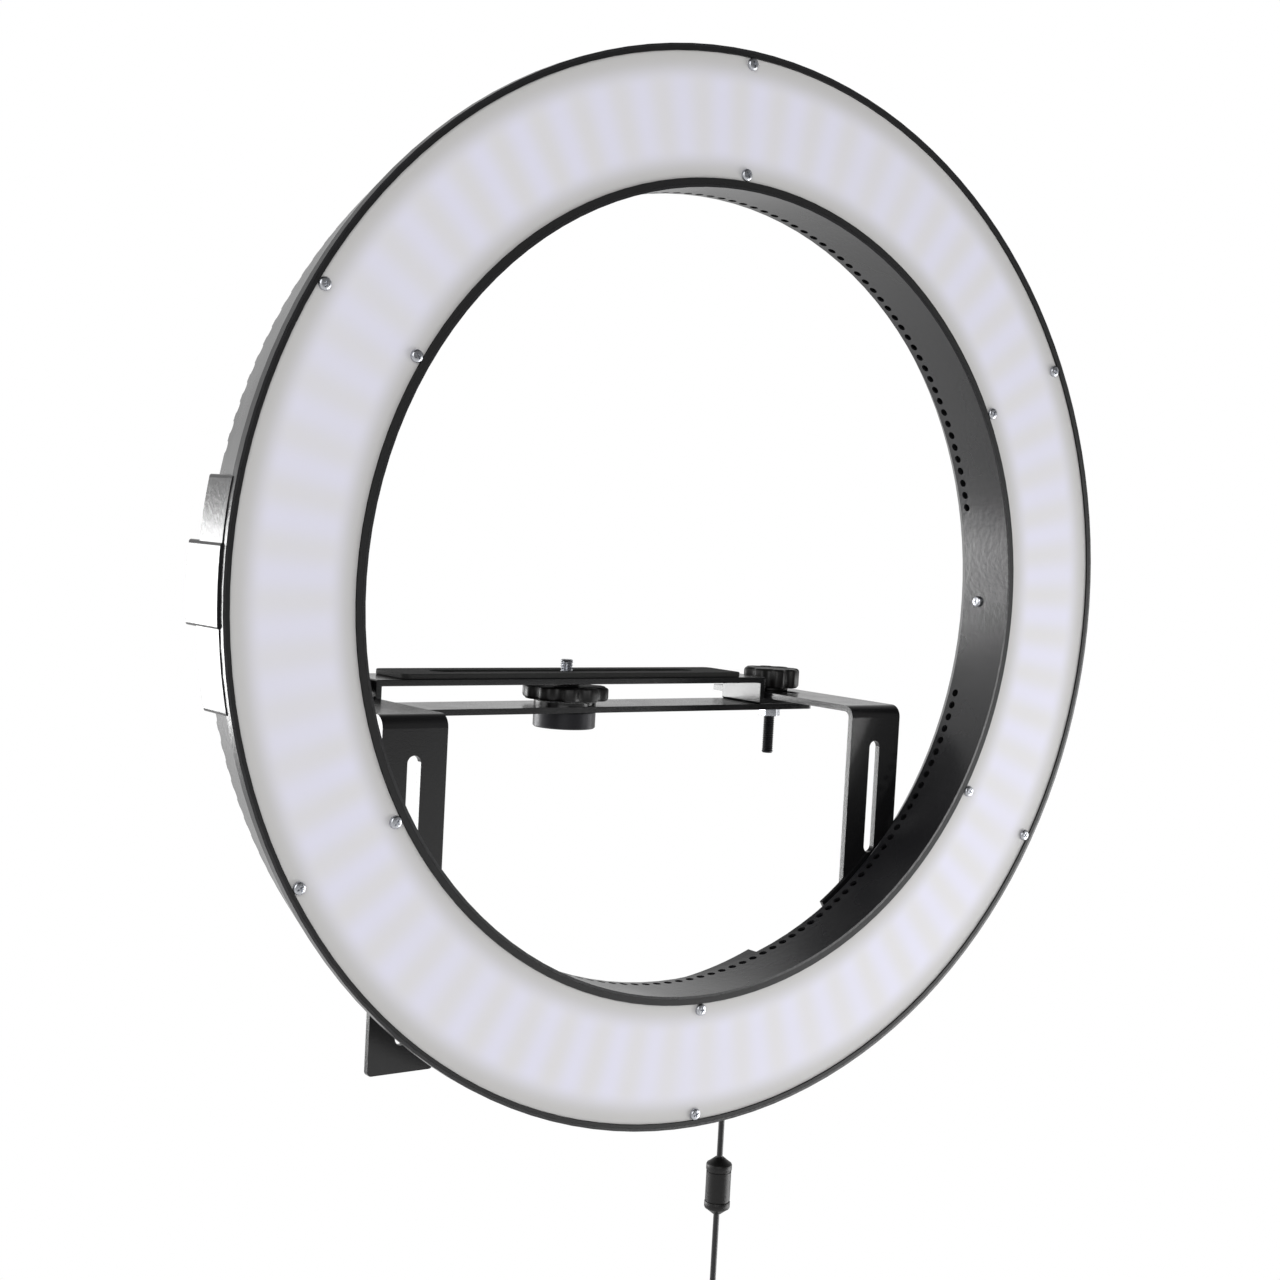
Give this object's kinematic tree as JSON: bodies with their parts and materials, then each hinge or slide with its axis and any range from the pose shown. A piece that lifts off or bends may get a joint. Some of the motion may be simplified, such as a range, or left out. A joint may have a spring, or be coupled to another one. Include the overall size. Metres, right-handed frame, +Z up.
{
  "type": "led ring light",
  "caption": "Round LED ring light with a flat diffuser, a vented rear cover, a slotted two-leg camera bracket on a stand socket and a low-voltage power lead.",
  "frame": {"origin": "mouth of the threaded stand socket under the bracket, on its axis, where a light stand holds the part", "axes": "+Z up, -Y the way the light shines, +X to the right as seen from in front of the light; the ring stands in the XZ direction ahead of the socket"},
  "size_m": [0.482, 0.1528, 0.6877],
  "materials": {
    "black_enamel": "satin black enamel on sheet steel",
    "black_powder": "black powder coat on steel strip",
    "black_plastic": "moulded black plastic",
    "diffuser_white": "opal acrylic sheet",
    "board_white": "white solder mask on circuit board",
    "led_resin": "phosphor resin",
    "bare_aluminium": "mill finish sheet",
    "bright_zinc": "bright zinc plate",
    "black_steel": "blackened steel",
    "green_board": "green solder mask on circuit board",
    "component_dark": "moulded component bodies",
    "black_rubber": "matt black rubber",
    "black_pvc": "soft black PVC",
    "lead_red": "insulated wire"
  },
  "bodies": {
    "ring": {"rear_cover": "black_enamel", "outer_bezel": "black_plastic", "inner_bezel": "black_plastic", "diffuser": "diffuser_white", "diffuser_screws": "bright_zinc", "led_carrier": "bare_aluminium", "led_boards": "board_white", "led_packages": "led_resin", "board_screws": "bright_zinc", "carrier_posts": "black_plastic", "carrier_screws": "bright_zinc", "rear_screws": "bright_zinc", "side_block_left": "black_enamel", "side_block_right": "black_enamel", "side_block_screws": "bright_zinc", "side_ties": "bright_zinc", "hole_wall_screws": "bright_zinc", "leg_plates": "black_powder", "plate_rivets": "bright_zinc", "ring_nuts": "bright_zinc", "control_box": "black_enamel", "control_box_screws": "bright_zinc", "driver_board": "green_board", "driver_parts": "component_dark", "wire_grommet": "black_rubber", "led_leads": "lead_red", "potentiometer": "bright_zinc", "switch_body": "black_plastic", "power_socket": "black_plastic", "power_plug": "black_pvc", "power_cord": "black_pvc", "ferrite_bead": "black_plastic", "cord_coil": "black_pvc", "cord_tie": "black_rubber", "lead_connector": "black_pvc"},
    "dimmer": {"dimmer_knob": "black_plastic"},
    "power_switch": {"switch_rocker": "black_plastic"},
    "support": {"crossbar": "black_powder", "camera_platform": "black_powder", "platform_pad": "black_rubber", "stand_socket": "black_steel", "socket_washer": "black_powder", "socket_screws": "bright_zinc", "clamp_nuts": "bright_zinc"},
    "legs": {"left_leg": "black_powder", "right_leg": "black_powder"},
    "left_clamp": {"left_clamp_knob": "black_plastic", "left_clamp_stud": "bright_zinc"},
    "right_clamp": {"right_clamp_knob": "black_plastic", "right_clamp_stud": "bright_zinc"},
    "left_ring_screw": {"left_ring_knob": "black_plastic", "left_ring_stud": "bright_zinc"},
    "right_ring_screw": {"right_ring_knob": "black_plastic", "right_ring_stud": "bright_zinc"},
    "screw_carriage": {"slot_guide": "black_steel"},
    "camera_fixing": {"camera_knob": "black_plastic", "camera_screw": "bright_zinc", "screw_clip": "bright_zinc"}
  },
  "joints": [
    {"name": "depth_slide", "type": "slide", "parent": "support", "child": "legs", "axis": [0, 1, 0], "range_m": [-0.016, 0.018]},
    {"name": "ring_height", "type": "slide", "parent": "legs", "child": "ring", "axis": [0, 0, 1], "range_m": [-0.033, 0.017]},
    {"name": "left_clamp_turn", "type": "hinge", "parent": "support", "child": "left_clamp", "pos_m": [-0.132, 0, 0.0175], "axis": [0, 0, 1], "continuous": true},
    {"name": "right_clamp_turn", "type": "hinge", "parent": "support", "child": "right_clamp", "pos_m": [0.132, 0, 0.0175], "axis": [0, 0, 1], "continuous": true},
    {"name": "left_ring_screw_turn", "type": "hinge", "parent": "ring", "child": "left_ring_screw", "pos_m": [-0.132, -0.0805, -0.088], "axis": [0, 1, 0], "continuous": true},
    {"name": "right_ring_screw_turn", "type": "hinge", "parent": "ring", "child": "right_ring_screw", "pos_m": [0.132, -0.0805, -0.088], "axis": [0, 1, 0], "continuous": true},
    {"name": "camera_screw_slide", "type": "slide", "parent": "support", "child": "screw_carriage", "axis": [1, 0, 0], "range_m": [-0.07, 0.07]},
    {"name": "camera_screw_turn", "type": "hinge", "parent": "screw_carriage", "child": "camera_fixing", "pos_m": [0, 0, 0.0218], "axis": [0, 0, 1], "continuous": true},
    {"name": "dimmer_turn", "type": "hinge", "parent": "ring", "child": "dimmer", "pos_m": [-0.04521, -0.072, -0.12385], "axis": [0, 1, 0], "range_deg": [-150, 150]},
    {"name": "power_rocker", "type": "hinge", "parent": "ring", "child": "power_switch", "pos_m": [0.01052, -0.073, -0.12873], "axis": [0.0523, 0, -0.9986], "range_deg": [-16, 0]}
  ]
}
